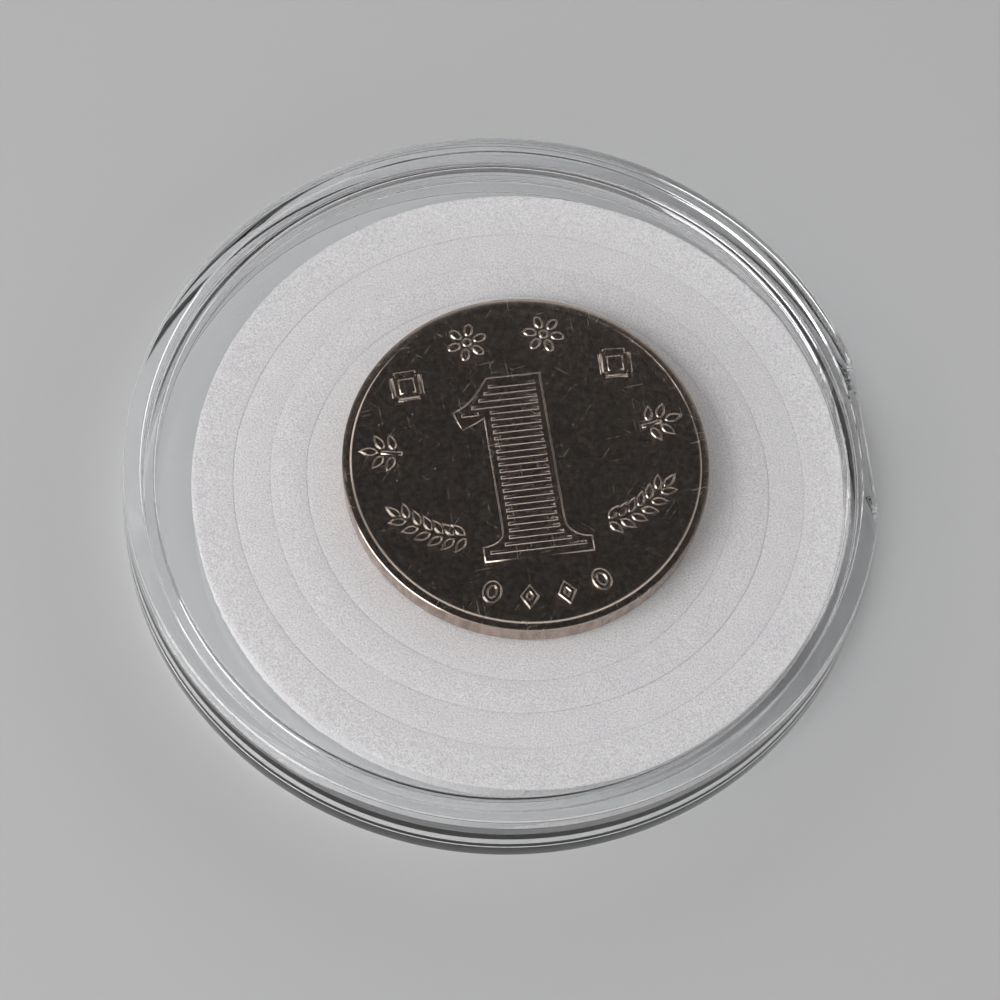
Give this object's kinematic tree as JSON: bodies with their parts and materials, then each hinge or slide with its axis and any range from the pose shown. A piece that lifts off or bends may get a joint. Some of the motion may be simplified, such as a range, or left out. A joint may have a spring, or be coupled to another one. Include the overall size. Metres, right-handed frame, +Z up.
{
  "type": "coin capsule",
  "caption": "Round clear two-shell coin capsule with nested foam gasket rings and a display coin; the lid presses into the base and lifts off at a thumbnail flat.",
  "frame": {"origin": "centre of the base shell's underside, on the axis of the two shells", "axes": "+Z up through the base, foam, coin and lid; -Y is the viewer's side; the pry flat faces 14.5 degrees counter-clockwise from +X"},
  "size_m": [0.0514, 0.0514, 0.006],
  "materials": {
    "clear_plastic": "clear injection-moulded polystyrene, polished faces, light handling scratches",
    "foam": "white fine-celled foam, die-cut, matte",
    "nickel": "nickel-plated steel, mirror-like field with fine scratches"
  },
  "bodies": {
    "base": {"base_shell": "clear_plastic"},
    "lid": {"lid_shell": "clear_plastic"},
    "coin": {"coin": "nickel"},
    "ring_40": {"gasket_ring_40": "foam"},
    "ring_35": {"gasket_ring_35": "foam"},
    "ring_30": {"gasket_ring_30": "foam"},
    "ring_25": {"gasket_ring_25": "foam"},
    "ring_20": {"gasket_ring_20": "foam"}
  },
  "joints": [
    {"name": "lid_lift", "type": "slide", "parent": "base", "child": "lid", "axis": [0, 0, 1], "range_m": [0, 0.018]},
    {"name": "coin_lift", "type": "slide", "parent": "base", "child": "coin", "axis": [0, 0, 1], "range_m": [0, 0.0137]},
    {"name": "ring_20_lift", "type": "slide", "parent": "base", "child": "ring_20", "axis": [0, 0, 1], "range_m": [0, 0.011]},
    {"name": "ring_25_lift", "type": "slide", "parent": "base", "child": "ring_25", "axis": [0, 0, 1], "range_m": [0, 0.00884]},
    {"name": "ring_30_lift", "type": "slide", "parent": "base", "child": "ring_30", "axis": [0, 0, 1], "range_m": [0, 0.00668]},
    {"name": "ring_35_lift", "type": "slide", "parent": "base", "child": "ring_35", "axis": [0, 0, 1], "range_m": [0, 0.00452]},
    {"name": "ring_40_lift", "type": "slide", "parent": "base", "child": "ring_40", "axis": [0, 0, 1], "range_m": [0, 0.00236]}
  ],
  "couplings": [
    {"joint": "coin_lift", "follows": "lid_lift", "ratio": 0.75},
    {"joint": "ring_20_lift", "follows": "lid_lift", "ratio": 0.6},
    {"joint": "ring_25_lift", "follows": "lid_lift", "ratio": 0.48},
    {"joint": "ring_30_lift", "follows": "lid_lift", "ratio": 0.36},
    {"joint": "ring_35_lift", "follows": "lid_lift", "ratio": 0.24},
    {"joint": "ring_40_lift", "follows": "lid_lift", "ratio": 0.12}
  ]
}
